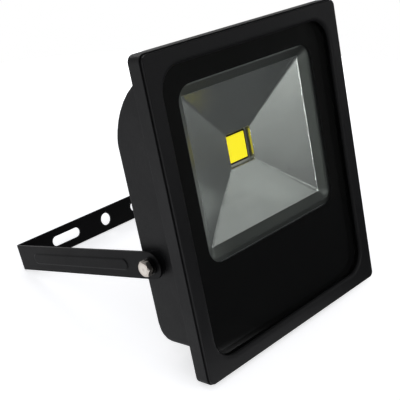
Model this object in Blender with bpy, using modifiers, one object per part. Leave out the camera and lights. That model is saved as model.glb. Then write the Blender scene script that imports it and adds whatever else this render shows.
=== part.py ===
import math

import bmesh
import bpy
from mathutils import Matrix, Vector

# Driving dimensions in metres. The head is drawn with X to its right, Y back from the
# bezel's front face and Z up from the middle of the frame.
FIT = 0.0003  # gap between pieces that touch
OVERRUN = 0.001  # how far a cutter runs past what it cuts
CORNER_STEPS = 6

# Front frame: a bezel with a rolled inner lip, and a skirt that hides the flange
FRAME_WIDTH = 0.2452
FRAME_HEIGHT = 0.2857
FRAME_CORNER = 0.0064
FRAME_EDGE = 0.0004
SKIRT_WALL = 0.003
BEZEL_INSET = 0.00125
BEZEL_RISE = 0.003
BEZEL_FACE = 0.0103
GROOVE_WIDTH = 0.0007
GROOVE_DEPTH = 0.0008
ROLL_WIDTH = 0.0038
ROLL_DEPTH = 0.0022
ROLL_STEPS = 4
LIP_BACK = 0.0034
OPENING_CORNER = 0.0214

# Glass, and the channel gasket round its edge
GLASS_THICKNESS = 0.004
GLASS_OVERLAP = 0.0068
GLASS_EDGE = 0.0005
GLASS_CORNER_CUT = 0.002
GASKET_FRONT_LEG = 0.0008
GASKET_BACK_LEG = 0.001
GASKET_SIDE = 0.0018
GASKET_REACH = 0.0048

# Cast housing
FLANGE_THICKNESS = 0.0063
LEDGE_SIDE = 0.0083  # from the flange's edge to the wall that rises from it
LEDGE_TOP = 0.01467
LEDGE_BOTTOM = 0.02205
HOUSING_DEPTH = 0.053
HOUSING_WALL = 0.004
HOUSING_CORNER = 0.0042
HOUSING_EDGE = 0.0033
TOP_WALL = 0.0059
ARC_RADIUS = 0.0739
ARC_END = math.radians(76)
ARC_STEPS = 8
LOW_RADIUS = 0.012
LOW_STEPS = 4
EDGE_STEPS = 3

# Cooling fins on the housing's back
FIN_COUNT = 16
FIN_THICKNESS = 0.003
FIN_DEPTH = 0.0197
FIN_STEP = 0.0025  # how far the fins stand out past the low back corner
FIN_STEP_RISE = 0.0135
FIN_FOOT = 0.006
FIN_RAMP = 0.006
FIN_BEND_DROP = 0.014
FIN_FADE_ANGLE = math.radians(27)
FIN_FADE_STEPS = 7
FIN_WEB = 0.014  # half height of the solid land behind each pivot
BASE_THICKNESS = 0.0055
CAVITY_CORNER = 0.006
CAVITY_STEPS = 6

# Pivots, one on each side
PIVOT_INSET = 0.0192
PIVOT_Z = -0.0385
BOSS_RADIUS = 0.0115
BOLT_RADIUS = 0.004
BOLT_GRIP = 0.012
BOLT_FLATS = 0.013
BOLT_HEAD = 0.0049
BOLT_CROWN = 0.0013
BOLT_TIP = 0.001
FLAT_WASHER = 0.0013
FLAT_WASHER_RADIUS = 0.0076
SPRING_WASHER = 0.0017
SPRING_WASHER_RADIUS = 0.0068
SPLIT_WIDTH = 0.0012
SPLIT_SLANT = math.radians(20)

# U bracket, bent from strip
STRIP_WIDTH = 0.0268
STRIP_END_WIDTH = 0.0252
STRIP_THICKNESS = 0.0025
STRIP_BEND = 0.002
STRIP_TIP_FLAT = 0.0004
ARM_GAP = 0.0047
BRACKET_REACH = 0.224
BRACKET_SLOPE = math.radians(-5.8)
WEB_HOLE_RADIUS = 0.0071
WEB_SLOT_WIDTH = 0.011
WEB_SLOT_LENGTH = 0.038
WEB_SLOT_X = 0.0565
RIB_WIDTH = 0.012
RIB_HEIGHT = 0.0008
RIB_SLOPE = 0.0016
RIB_SETBACK = 0.032  # of a rib's ends, from the pivot and from the web

# Light engine: a board with its emitter, and a folded four-sided reflector
BOARD_HALF_X = 0.028
BOARD_HALF_Z = 0.024
BOARD_THICKNESS = 0.002
BOARD_HOLE_INSET = 0.004
BOARD_CLEAR = 0.0018
DAM_HALF = 0.0139
DAM_WALL = 0.0014
DAM_HEIGHT = 0.0016
DAM_CORNER = 0.001
DAM_ROOT = 0.0005
EMITTER_THICKNESS = 0.0016
REFLECTOR_SHEET = 0.0008
REFLECTOR_FLANGE = 0.010
REFLECTOR_SIDE_FLANGE = 0.014
REFLECTOR_CLEAR = 0.0018
REFLECTOR_SETBACK = 0.002
MOUTH_SIDE = 0.023
MOUTH_CORNER = 0.008
MOUTH_ROUND = 0.0008
LIP_DEPTH = 0.0061
LIP_DRAFT = 0.0086
LIP_CORNER = 0.003
COLLAR_GAP = 0.0021
COLLAR_DEPTH = 0.0056
COLLAR_CORNER = 0.001
COLLAR_LIFT = 0.0013
PANEL_CURVE = 0.0006
PANEL_STEPS = 4
POST_RADIUS = 0.004
POST_DROP = 0.017
POST_INSET = 0.0045  # from the side flange's edge, so that the print hides the screws

# Driver, its wires and the earth screw
DRIVER_X = -0.022
DRIVER_WIDTH = 0.118
DRIVER_HEIGHT = 0.040
DRIVER_DEPTH = 0.024
DRIVER_EDGE = 0.0015
DRIVER_GAP = 0.008
DRIVER_FOOT = 0.0127
DRIVER_EAR = 0.012
EAR_THICKNESS = 0.0015
EAR_INSET = 0.008
LEAD_RADIUS = 0.0009
LEAD_SPREAD = 0.003
LEAD_LAP = 0.006
LEAD_BEND = 0.003
LEAD_DROP = 0.009
EARTH_GAP = 0.022

# Cable gland on the housing's back
GLAND_LIFT = 0.0375
GLAND_SIDE_GAP = 0.019
GLAND_PAD_RADIUS = 0.0135
GLAND_PAD_RISE = 0.002
GLAND_POCKET_CLEAR = 0.003
GLAND_THREAD_RADIUS = 0.0076
GLAND_COLLAR_RADIUS = 0.0068
GLAND_COLLAR_LENGTH = 0.006
GLAND_HEX_FLATS = 0.019
GLAND_HEX_HEIGHT = 0.005
GLAND_NUT_FLATS = 0.018
GLAND_NUT_LENGTH = 0.015
GLAND_DOME = 0.003
GLAND_RIM = 0.0022
GLAND_CHAMFER = 0.0012
GLAND_BORE_RADIUS = 0.0045
GLAND_CHAMBER_RADIUS = 0.0058
GLAND_END_WALL = 0.002
SEAL_BORE_RADIUS = 0.0042

# Screws: radius of the thread and the head, length under the head and height of the head
FRAME_SCREW = {"thread": 0.002, "head": 0.0036, "length": 0.0105, "height": 0.0024}
BOARD_SCREW = {"thread": 0.0015, "head": 0.0028, "length": 0.004, "height": 0.0018}
POST_SCREW = {"thread": 0.0015, "head": 0.0028, "length": 0.006, "height": 0.0012}
DRIVER_SCREW = {"thread": 0.0015, "head": 0.0028, "length": 0.004, "height": 0.0018}
EARTH_SCREW = {"thread": 0.0018, "head": 0.0034, "length": 0.004, "height": 0.0022}
FRAME_SCREW_INSET_X = 0.0095
FRAME_SCREW_INSET_Z = 0.0105

# Outlines that follow from the sizes above
HALF_X = FRAME_WIDTH / 2
HALF_Z = FRAME_HEIGHT / 2
BEZEL_X = HALF_X - BEZEL_INSET
BEZEL_Z = HALF_Z - BEZEL_INSET
BEZEL_CORNER = FRAME_CORNER - BEZEL_INSET
OPENING_X = BEZEL_X - BEZEL_FACE - ROLL_WIDTH
OPENING_Z = BEZEL_Z - BEZEL_FACE - ROLL_WIDTH
GLASS_X = OPENING_X + GLASS_OVERLAP
GLASS_Z = OPENING_Z + GLASS_OVERLAP
GLASS_CORNER = OPENING_CORNER + GLASS_OVERLAP - GLASS_CORNER_CUT
GASKET_X = GLASS_X + FIT + GASKET_SIDE
GASKET_Z = GLASS_Z + FIT + GASKET_SIDE
GASKET_CORNER = GLASS_CORNER + FIT + GASKET_SIDE
FLANGE_X = HALF_X - SKIRT_WALL - FIT
FLANGE_Z = HALF_Z - SKIRT_WALL - FIT
FLANGE_CORNER = FRAME_CORNER - SKIRT_WALL - FIT
WALL_X = FLANGE_X - LEDGE_SIDE
CAVITY_X = WALL_X - HOUSING_WALL
ARM_INNER = WALL_X + ARM_GAP
ARM_OUTER = ARM_INNER + STRIP_THICKNESS
BOSS_FACE = ARM_INNER - FIT

# The stack of depths, from the bezel's face back to the fins
GASKET_FRONT = LIP_BACK + FIT
GLASS_FRONT = GASKET_FRONT + GASKET_FRONT_LEG + FIT
GLASS_BACK = GLASS_FRONT + GLASS_THICKNESS
GASKET_BACK = GLASS_BACK + FIT + GASKET_BACK_LEG
FLANGE_FRONT = GASKET_BACK + FIT
FLANGE_BACK = FLANGE_FRONT + FLANGE_THICKNESS
FRAME_DEPTH = FLANGE_BACK + FIT
HOUSING_BACK = FLANGE_BACK + HOUSING_DEPTH
FIN_FLOOR = HOUSING_BACK - FIN_DEPTH
CAVITY_BACK = FIN_FLOOR - BASE_THICKNESS
BOARD_BACK = CAVITY_BACK - FIT
BOARD_FRONT = BOARD_BACK - BOARD_THICKNESS
MOUTH_Y = GLASS_BACK + REFLECTOR_SETBACK
COLLAR_BACK = BOARD_FRONT - COLLAR_LIFT
COLLAR_FRONT = COLLAR_BACK - COLLAR_DEPTH
POST_TOP = MOUTH_Y + REFLECTOR_SHEET + FIT
GLAND_PAD = FIN_FLOOR + GLAND_PAD_RISE
PIVOT_Y = HOUSING_BACK - PIVOT_INSET
ARC_CENTRE_Y = HOUSING_BACK - ARC_RADIUS

# Heights, and what stands side by side
ARC_CENTRE_Z = FLANGE_Z - LEDGE_TOP - math.sqrt(ARC_RADIUS ** 2 - (FLANGE_BACK - ARC_CENTRE_Y) ** 2)
HOUSING_BOTTOM = LEDGE_BOTTOM - FLANGE_Z
FIN_STEP_Z = HOUSING_BOTTOM + FIN_STEP_RISE
FIN_LOW_Z = FIN_STEP_Z + FIN_FOOT
FIN_BEND_Z = ARC_CENTRE_Z - FIN_BEND_DROP
CAVITY_TOP = FLANGE_Z - LEDGE_TOP - TOP_WALL
CAVITY_LOW = HOUSING_BOTTOM + HOUSING_WALL
DRIVER_LOW_Z = CAVITY_LOW + DRIVER_FOOT
DRIVER_TOP_Z = DRIVER_LOW_Z + DRIVER_HEIGHT
MOUTH_HALF_Z = (CAVITY_TOP - REFLECTOR_CLEAR - DRIVER_TOP_Z - DRIVER_GAP) / 2 - REFLECTOR_FLANGE
MOUTH_HALF_X = CAVITY_X - MOUTH_SIDE
LIGHT_Z = CAVITY_TOP - REFLECTOR_CLEAR - REFLECTOR_FLANGE - MOUTH_HALF_Z
CAVITY_BEND_Z = LIGHT_Z + BOARD_HALF_Z + BOARD_CLEAR
COLLAR_HALF = DAM_HALF + COLLAR_GAP
GLAND_X = DRIVER_X + DRIVER_WIDTH / 2 + DRIVER_EAR + GLAND_SIDE_GAP
GLAND_Z = HOUSING_BOTTOM + GLAND_LIFT
EARTH_SCREW_X = GLAND_X + EARTH_GAP
SCREW_X = HALF_X - FRAME_SCREW_INSET_X
SCREW_Z = HALF_Z - FRAME_SCREW_INSET_Z

CORNERS = [(-1, 1), (1, 1), (1, -1), (-1, -1)]
CORNER_NAMES = ["upper_left", "upper_right", "lower_right", "lower_left"]
PIVOT = Vector((0.0, PIVOT_Y, PIVOT_Z))
QUARTER = math.pi / 2
OUTWARD = (-QUARTER, 0.0, 0.0)


def clear_scene():
    for obj in list(bpy.data.objects):
        bpy.data.objects.remove(obj, do_unlink=True)


def new_collection(name):
    collection = bpy.data.collections.new(name)
    bpy.context.scene.collection.children.link(collection)
    return collection


def new_material(name, color, roughness, metallic=0.0, alpha=1.0):
    material = bpy.data.materials.new(name)
    material.use_nodes = True
    shader = material.node_tree.nodes["Principled BSDF"]
    shader.inputs["Base Color"].default_value = (*color, 1.0)
    shader.inputs["Roughness"].default_value = roughness
    shader.inputs["Metallic"].default_value = metallic
    shader.inputs["Alpha"].default_value = alpha
    material.diffuse_color = (*color, alpha)
    return material


def new_empty(name, location, angle):
    empty = bpy.data.objects.new(name, None)
    empty.location = location
    empty.rotation_euler = (angle, 0.0, 0.0)
    parts.objects.link(empty)
    return empty


def link(obj, material):
    """Put a piece among the parts, or a shape without a material among the cutters."""
    if material:
        obj.data.materials.append(material)
        parts.objects.link(obj)
    else:
        cutters.objects.link(obj)
        obj.hide_render = True
        obj.display_type = "WIRE"
    return obj


def mesh_object(name, bm, material=None):
    bmesh.ops.recalc_face_normals(bm, faces=bm.faces)
    mesh = bpy.data.meshes.new(name)
    bm.to_mesh(mesh)
    bm.free()
    mesh.shade_smooth()
    mesh.set_sharp_from_angle(angle=math.radians(35))
    return link(bpy.data.objects.new(name, mesh), material)


def turned(name, profile, material=None, segments=24, loop=False):
    """A body turned about Z from (radius, height) pairs that run down its outer side."""
    bm = bmesh.new()
    verts = [bm.verts.new((radius, 0.0, height)) for radius, height in profile]
    for a, b in zip(verts, verts[1:] + (verts[:1] if loop else [])):
        bm.edges.new((a, b))
    mesh = bpy.data.meshes.new(name)
    bm.to_mesh(mesh)
    bm.free()
    obj = bpy.data.objects.new(name, mesh)
    screw = obj.modifiers.new("Screw", "SCREW")
    screw.axis = "Z"
    screw.steps = segments
    screw.render_steps = segments
    screw.use_merge_vertices = True
    screw.merge_threshold = 0.00001
    screw.use_smooth_shade = True
    return link(obj, material)


def seat(obj, at=(0.0, 0.0, 0.0), turn=(0.0, 0.0, 0.0)):
    """Hang a piece on the head, at a place given in the head's own axes."""
    obj.parent = head_pivot
    obj.location = Vector(at) - PIVOT
    obj.rotation_euler = turn
    return obj


def boolean(obj, cutter, operation):
    modifier = obj.modifiers.new(cutter.name, "BOOLEAN")
    modifier.operation = operation
    modifier.solver = "EXACT"
    modifier.object = cutter


def join(obj, name, bm):
    boolean(obj, seat(mesh_object(name, bm)), "UNION")


def cut(obj, name, bm):
    boolean(obj, seat(mesh_object(name, bm)), "DIFFERENCE")


# Outlines and basic bodies

def ring(half_x, low_z, high_z, radius, y):
    """Points of a rounded rectangle that stands across the Y axis."""
    points = []
    middles = [
        (half_x - radius, high_z - radius, 0),
        (radius - half_x, high_z - radius, 90),
        (radius - half_x, low_z + radius, 180),
        (half_x - radius, low_z + radius, 270),
    ]
    for x, z, start in middles:
        for step in range(CORNER_STEPS + 1):
            angle = math.radians(start + 90 * step / CORNER_STEPS)
            points.append(Vector((x + radius * math.cos(angle), y, z + radius * math.sin(angle))))
    return points


def even_ring(half_x, half_z, radius, y, middle_z=0.0):
    return ring(half_x, middle_z - half_z, middle_z + half_z, radius, y)


def grown_ring(size, growth, y):
    """A ring for (half x, half z, corner) that is offset outwards by one distance."""
    return even_ring(size[0] + growth, size[1] + growth, size[2] + growth, y)


def loft(rings, closed=False):
    """Skin a row of rings. A closed row bites its own tail and makes a frame."""
    bm = bmesh.new()
    loops = [[bm.verts.new(point) for point in points] for points in rings]
    followers = loops[1:] + loops[:1] if closed else loops[1:]
    for loop, follower in zip(loops, followers):
        for i in range(len(loop)):
            j = (i + 1) % len(loop)
            bm.faces.new((loop[i], loop[j], follower[j], follower[i]))
    if not closed:
        bm.faces.new(loops[0])
        bm.faces.new(loops[-1])
    return bm


def extrude(bm, points, shift):
    face = bm.faces.new([bm.verts.new(point) for point in points])
    grown = bmesh.ops.extrude_face_region(bm, geom=[face])
    moved = [item for item in grown["geom"] if isinstance(item, bmesh.types.BMVert)]
    bmesh.ops.translate(bm, verts=moved, vec=shift)


def add_rod(bm, radius, start, end, segments=24):
    """A cylinder between two points, with its caps."""
    start, end = Vector(start), Vector(end)
    along = end - start
    facing = along.to_track_quat("Z", "Y").to_matrix().to_4x4()
    bmesh.ops.create_cone(
        bm, cap_ends=True, segments=segments, radius1=radius, radius2=radius,
        depth=along.length, matrix=Matrix.Translation((start + end) / 2) @ facing)


def add_peg(bm, radius, x, z, start, end, segments=10):
    """A cylinder along Y: a post, or the drill for a screw hole."""
    add_rod(bm, radius, (x, start, z), (x, end, z), segments)


def add_box(bm, low, high):
    low, high = Vector(low), Vector(high)
    size = high - low
    matrix = Matrix.Translation((low + high) / 2) @ Matrix.Diagonal((size.x, size.y, size.z, 1.0))
    bmesh.ops.create_cube(bm, size=1.0, matrix=matrix)


def arc(centre, radius, start, end, steps):
    """Pairs along an arc, with its angles in radians from the first axis."""
    angles = [start + (end - start) * i / steps for i in range(steps + 1)]
    return [(centre[0] + radius * math.cos(a), centre[1] + radius * math.sin(a)) for a in angles]


# Front frame, glass and gasket

def make_front_frame():
    opening = (OPENING_X, OPENING_Z, OPENING_CORNER)
    bezel = (BEZEL_X, BEZEL_Z, BEZEL_CORNER)
    skirt = (HALF_X, HALF_Z, FRAME_CORNER)
    flange_room = (FLANGE_X + FIT, FLANGE_Z + FIT, FLANGE_CORNER + FIT)
    gasket_room = (GASKET_X + FIT, GASKET_Z + FIT, GASKET_CORNER + FIT)
    rings = [grown_ring(opening, 0.0, LIP_BACK), grown_ring(opening, 0.0, ROLL_DEPTH)]
    for step in range(1, ROLL_STEPS + 1):
        angle = QUARTER * step / ROLL_STEPS
        y = ROLL_DEPTH * (1 - math.sin(angle))
        rings.append(grown_ring(opening, ROLL_WIDTH * (1 - math.cos(angle)), y))
    groove_floor = BEZEL_RISE + GROOVE_DEPTH
    shoulder = BEZEL_INSET - GROOVE_WIDTH
    rings += [
        grown_ring(bezel, -FRAME_EDGE, 0.0),
        grown_ring(bezel, 0.0, FRAME_EDGE),
        grown_ring(bezel, 0.0, groove_floor),
        grown_ring(bezel, GROOVE_WIDTH, groove_floor),
        grown_ring(skirt, -shoulder, BEZEL_RISE),
        grown_ring(skirt, 0.0, BEZEL_RISE + shoulder),
        grown_ring(skirt, 0.0, FRAME_DEPTH - FRAME_EDGE),
        grown_ring(skirt, -FRAME_EDGE, FRAME_DEPTH),
        grown_ring(flange_room, 0.0, FRAME_DEPTH),
        grown_ring(flange_room, 0.0, GASKET_BACK),
        grown_ring(gasket_room, 0.0, GASKET_BACK),
        grown_ring(gasket_room, 0.0, LIP_BACK),
    ]
    frame = seat(mesh_object("front_frame", loft(rings, True), powder_coat))
    holes = bmesh.new()
    tip = FLANGE_BACK - FRAME_SCREW["length"] - FIT
    for side, level in CORNERS:
        add_peg(holes, FRAME_SCREW["thread"] + FIT, side * SCREW_X, level * SCREW_Z, tip, FRAME_DEPTH, 12)
    cut(frame, "frame_screw_holes", holes)


def make_glass():
    pane = (GLASS_X, GLASS_Z, GLASS_CORNER)
    seat(mesh_object("glass_pane", loft([
        grown_ring(pane, -GLASS_EDGE, GLASS_FRONT),
        grown_ring(pane, 0.0, GLASS_FRONT + GLASS_EDGE),
        grown_ring(pane, 0.0, GLASS_BACK - GLASS_EDGE),
        grown_ring(pane, -GLASS_EDGE, GLASS_BACK),
    ]), glass))


def make_gasket():
    outer = (GASKET_X, GASKET_Z, GASKET_CORNER)
    tip = -GASKET_SIDE - GASKET_REACH
    seat(mesh_object("glass_gasket", loft([
        grown_ring(outer, 0.0, GASKET_FRONT),
        grown_ring(outer, 0.0, GASKET_BACK),
        grown_ring(outer, tip, GASKET_BACK),
        grown_ring(outer, tip, GLASS_BACK + FIT),
        grown_ring(outer, -GASKET_SIDE, GLASS_BACK + FIT),
        grown_ring(outer, -GASKET_SIDE, GLASS_FRONT - FIT),
        grown_ring(outer, tip, GLASS_FRONT - FIT),
        grown_ring(outer, tip, GASKET_FRONT),
    ], True), silicone))


# Cast housing

def housing_top(y):
    return ARC_CENTRE_Z + math.sqrt(max(ARC_RADIUS ** 2 - (y - ARC_CENTRE_Y) ** 2, 0.0))


def housing_low(y):
    """Height of the underside: flat, then round the low back corner, then the fins' step."""
    back = HOUSING_BACK - FIN_STEP
    if y > back:
        return FIN_STEP_Z
    run = max(y - (back - LOW_RADIUS), 0.0)
    return HOUSING_BOTTOM + LOW_RADIUS - math.sqrt(LOW_RADIUS ** 2 - run ** 2)


def housing_side(y):
    run = max(y - (HOUSING_BACK - HOUSING_EDGE), 0.0)
    return WALL_X - HOUSING_EDGE + math.sqrt(max(HOUSING_EDGE ** 2 - run ** 2, 0.0))


def housing_depths():
    """Where the shell is sectioned: along the top arc, the low corner and the back edge."""
    low_back = HOUSING_BACK - FIN_STEP
    first = math.asin((FLANGE_BACK - ARC_CENTRE_Y) / ARC_RADIUS)
    depths = [FLANGE_BACK - FLANGE_THICKNESS / 2, low_back + FIT]
    for step in range(ARC_STEPS + 1):
        depths.append(ARC_CENTRE_Y + ARC_RADIUS * math.sin(first + (ARC_END - first) * step / ARC_STEPS))
    for step in range(1, LOW_STEPS + 1):
        depths.append(low_back - LOW_RADIUS * (1 - math.sin(QUARTER * step / LOW_STEPS)))
    for step in range(1, EDGE_STEPS + 1):
        depths.append(HOUSING_BACK - HOUSING_EDGE * (1 - math.sin(QUARTER * step / EDGE_STEPS)))
    return sorted(set(round(depth, 6) for depth in depths))


def housing_body():
    """The shell's outside: a big arc over the top and a round corner below."""
    rings = []
    for y in housing_depths():
        side = housing_side(y)
        rings.append(ring(side, housing_low(y), housing_top(y), HOUSING_CORNER - (WALL_X - side), y))
    return loft(rings)


def fade_arc(floor, bend_z, exit_y, exit_z):
    """The arc that leaves an upright floor at a height and runs out through a point."""
    rise = exit_z - bend_z
    centre_y = (floor ** 2 - exit_y ** 2 - rise ** 2) / (2 * (floor - exit_y))
    return floor - centre_y, centre_y


def housing_cavity():
    """The room for the light engine and the driver, open at the front."""
    rings = [ring(CAVITY_X, CAVITY_LOW, CAVITY_TOP, CAVITY_CORNER, FLANGE_FRONT - HOUSING_WALL)]
    radius, centre_y = fade_arc(CAVITY_BACK, CAVITY_BEND_Z, FLANGE_BACK, CAVITY_TOP)
    for step in range(CAVITY_STEPS + 1):
        y = FLANGE_BACK + (CAVITY_BACK - FLANGE_BACK) * math.sin(QUARTER * step / CAVITY_STEPS)
        top = CAVITY_BEND_Z + math.sqrt(max(radius ** 2 - (y - centre_y) ** 2, 0.0))
        rings.append(ring(CAVITY_X, CAVITY_LOW, top, CAVITY_CORNER, y))
    return loft(rings)


def channel_outline(low_z, high_z=None):
    """Side view of the gap between two fins, from its floor to outside the casting."""
    outside = HOUSING_BACK + FIN_DEPTH / 2
    outline = [(outside, low_z), (FIN_FLOOR + FIN_RAMP, low_z), (FIN_FLOOR, low_z + FIN_RAMP)]
    if high_z is not None:
        return outline + [(FIN_FLOOR, high_z - FIN_RAMP), (FIN_FLOOR + FIN_RAMP, high_z), (outside, high_z)]
    exit_y = ARC_CENTRE_Y + ARC_RADIUS * math.sin(FIN_FADE_ANGLE)
    exit_z = ARC_CENTRE_Z + ARC_RADIUS * math.cos(FIN_FADE_ANGLE)
    radius, centre_y = fade_arc(FIN_FLOOR, FIN_BEND_Z, exit_y, exit_z)
    sweep = math.asin((exit_z - FIN_BEND_Z) / radius) + math.radians(2)
    outline += arc((centre_y, FIN_BEND_Z), radius, 0.0, sweep, FIN_FADE_STEPS)
    end_y, end_z = outline[-1]
    clear_z = end_z + FIN_DEPTH
    return outline + [(end_y + FIN_DEPTH / 2, clear_z), (outside, clear_z)]


def fin_channels():
    """Gaps between the fins. The outermost ones leave a land for the pivot's thread."""
    bm = bmesh.new()
    inner = WALL_X - HOUSING_EDGE
    width = (2 * inner - FIN_COUNT * FIN_THICKNESS) / (FIN_COUNT + 1)
    whole = [channel_outline(FIN_LOW_Z)]
    parted = [channel_outline(FIN_LOW_Z, PIVOT_Z - FIN_WEB), channel_outline(PIVOT_Z + FIN_WEB)]
    for index in range(FIN_COUNT + 1):
        start = -inner + index * (width + FIN_THICKNESS)
        for outline in parted if index in (0, FIN_COUNT) else whole:
            extrude(bm, [(start, y, z) for y, z in outline], (width, 0.0, 0.0))
    return bm


def post_places():
    """Centres of the posts, under the side flanges of the reflector."""
    x = MOUTH_HALF_X + REFLECTOR_SIDE_FLANGE - POST_INSET
    return [(side * x, LIGHT_Z + level * (MOUTH_HALF_Z - POST_DROP)) for side, level in CORNERS]


def housing_posts():
    bm = bmesh.new()
    for x, z in post_places():
        add_peg(bm, POST_RADIUS, x, z, POST_TOP, CAVITY_BACK + BASE_THICKNESS / 2, 12)
    return bm


def housing_bosses():
    bm = bmesh.new()
    for side in (-1, 1):
        root = (side * (WALL_X - HOUSING_WALL / 2), PIVOT_Y, PIVOT_Z)
        add_rod(bm, BOSS_RADIUS, root, (side * BOSS_FACE, PIVOT_Y, PIVOT_Z), 28)
    add_peg(bm, GLAND_PAD_RADIUS, GLAND_X, GLAND_Z, CAVITY_BACK + BASE_THICKNESS / 2, GLAND_PAD, 24)
    return bm


def floor_screws():
    """Screws that stand in the cavity's floor: the light engine's, the driver's and the earth's."""
    places = []
    for (side, level), name in zip(CORNERS, CORNER_NAMES):
        x = side * (BOARD_HALF_X - BOARD_HOLE_INSET)
        z = LIGHT_Z + level * (BOARD_HALF_Z - BOARD_HOLE_INSET)
        places.append((f"led_screw_{name}", BOARD_SCREW, x, z, BOARD_FRONT))
    middle_z = DRIVER_LOW_Z + DRIVER_HEIGHT / 2
    ear_y = BOARD_BACK - EAR_THICKNESS
    for side, name in ((-1, "left"), (1, "right")):
        x = DRIVER_X + side * (DRIVER_WIDTH + DRIVER_EAR) / 2
        places.append((f"driver_screw_{name}", DRIVER_SCREW, x, middle_z, ear_y))
    places.append(("earth_screw", EARTH_SCREW, EARTH_SCREW_X, middle_z, CAVITY_BACK))
    return places


def housing_holes():
    bm = bmesh.new()
    deep_end = BOSS_FACE - BOLT_GRIP - 2 * FIT
    for side in (-1, 1):
        mouth = (side * (BOSS_FACE + OVERRUN), PIVOT_Y, PIVOT_Z)
        add_rod(bm, BOLT_RADIUS + FIT, (side * deep_end, PIVOT_Y, PIVOT_Z), mouth, 16)
    start, end = FLANGE_FRONT - OVERRUN, FLANGE_BACK + OVERRUN
    for side, level in CORNERS:
        add_peg(bm, FRAME_SCREW["thread"] + FIT, side * SCREW_X, level * SCREW_Z, start, end, 12)
    for x, z in post_places():
        add_peg(bm, POST_SCREW["thread"] + FIT, x, z, POST_TOP - OVERRUN, POST_TOP + POST_SCREW["length"])
    start, end = CAVITY_BACK - OVERRUN, GLAND_PAD + OVERRUN
    add_peg(bm, GLAND_THREAD_RADIUS + FIT, GLAND_X, GLAND_Z, start, end, 24)
    for name, screw, x, z, head_y in floor_screws():
        add_peg(bm, screw["thread"] + FIT, x, z, start, head_y + screw["length"] + FIT)
    return bm


def make_housing():
    housing = seat(mesh_object("back_housing", housing_body(), powder_coat))
    flange = (FLANGE_X, FLANGE_Z, FLANGE_CORNER)
    join(housing, "housing_flange", loft([grown_ring(flange, 0.0, y) for y in (FLANGE_FRONT, FLANGE_BACK)]))
    cut(housing, "housing_cavity", housing_cavity())
    join(housing, "housing_posts", housing_posts())
    cut(housing, "fin_channels", fin_channels())
    pocket = bmesh.new()
    pocket_end = HOUSING_BACK + FIN_DEPTH / 2
    add_peg(pocket, GLAND_PAD_RADIUS + GLAND_POCKET_CLEAR, GLAND_X, GLAND_Z, FIN_FLOOR, pocket_end, 28)
    cut(housing, "gland_pocket", pocket)
    join(housing, "housing_bosses", housing_bosses())
    cut(housing, "housing_holes", housing_holes())


# Light engine

def reflector_front():
    """Sections (half x, half z, corner, y) of the bright side, from the mouth to the collar."""
    lip_x = MOUTH_HALF_X - LIP_DRAFT
    lip_z = MOUTH_HALF_Z - LIP_DRAFT
    lip_y = MOUTH_Y + LIP_DEPTH
    sections = [
        (MOUTH_HALF_X, MOUTH_HALF_Z, MOUTH_CORNER, MOUTH_Y),
        (MOUTH_HALF_X - MOUTH_ROUND, MOUTH_HALF_Z - MOUTH_ROUND, MOUTH_CORNER, MOUTH_Y + MOUTH_ROUND),
    ]
    for step in range(PANEL_STEPS + 1):
        share = step / PANEL_STEPS
        half_x = lip_x + (COLLAR_HALF - lip_x) * share
        half_z = lip_z + (COLLAR_HALF - lip_z) * share
        corner = LIP_CORNER + (COLLAR_CORNER - LIP_CORNER) * share
        y = lip_y + (COLLAR_FRONT - lip_y) * share + PANEL_CURVE * math.sin(math.pi * share)
        sections.append((half_x, half_z, corner, y))
    return sections


def make_reflector():
    front = reflector_front()
    sheet = REFLECTOR_SHEET
    rim = (MOUTH_HALF_X + REFLECTOR_SIDE_FLANGE, MOUTH_HALF_Z + REFLECTOR_FLANGE, MOUTH_CORNER)
    sections = [(*rim, MOUTH_Y)] + front
    sections.append((COLLAR_HALF, COLLAR_HALF, COLLAR_CORNER, COLLAR_BACK))
    sections.append((COLLAR_HALF + sheet, COLLAR_HALF + sheet, COLLAR_CORNER + sheet, COLLAR_BACK))
    aside = sheet / 2
    for half_x, half_z, corner, y in reversed(front[2:]):
        sections.append((half_x + aside, half_z + aside, corner + aside, y + sheet))
    sections.append((MOUTH_HALF_X + sheet, MOUTH_HALF_Z + sheet, MOUTH_CORNER, MOUTH_Y + sheet))
    sections.append((*rim, MOUTH_Y + sheet))
    rings = [even_ring(*section, LIGHT_Z) for section in sections]
    reflector = seat(mesh_object("reflector", loft(rings, True), bright_aluminium))
    holes = bmesh.new()
    for x, z in post_places():
        add_peg(holes, POST_SCREW["thread"] + FIT, x, z, MOUTH_Y - OVERRUN, MOUTH_Y + sheet + OVERRUN)
    cut(reflector, "reflector_holes", holes)


def make_light_engine():
    board = bmesh.new()
    add_box(board, (-BOARD_HALF_X, BOARD_FRONT, LIGHT_Z - BOARD_HALF_Z),
            (BOARD_HALF_X, BOARD_BACK, LIGHT_Z + BOARD_HALF_Z))
    led_board = seat(mesh_object("led_board", board, ceramic_white))
    outer = (DAM_HALF, DAM_HALF, DAM_CORNER)
    room = DAM_HALF - DAM_WALL
    inner = (room, room, DAM_CORNER / 2)
    front, root = BOARD_FRONT - DAM_HEIGHT, BOARD_FRONT + DAM_ROOT
    sections = [(*outer, front), (*outer, root), (*inner, root), (*inner, front)]
    join(led_board, "emitter_dam", loft([even_ring(*section, LIGHT_Z) for section in sections], True))
    holes = bmesh.new()
    for name, screw, x, z, head_y in floor_screws():
        if screw is BOARD_SCREW:
            add_peg(holes, screw["thread"] + FIT, x, z, BOARD_FRONT - OVERRUN, BOARD_BACK + OVERRUN)
    cut(led_board, "led_board_holes", holes)
    half = room - FIT
    back = BOARD_FRONT - FIT
    depths = (back - EMITTER_THICKNESS, back)
    rings = [even_ring(half, half, DAM_CORNER / 2 - FIT, y, LIGHT_Z) for y in depths]
    seat(mesh_object("led_emitter", loft(rings), phosphor))


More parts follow.
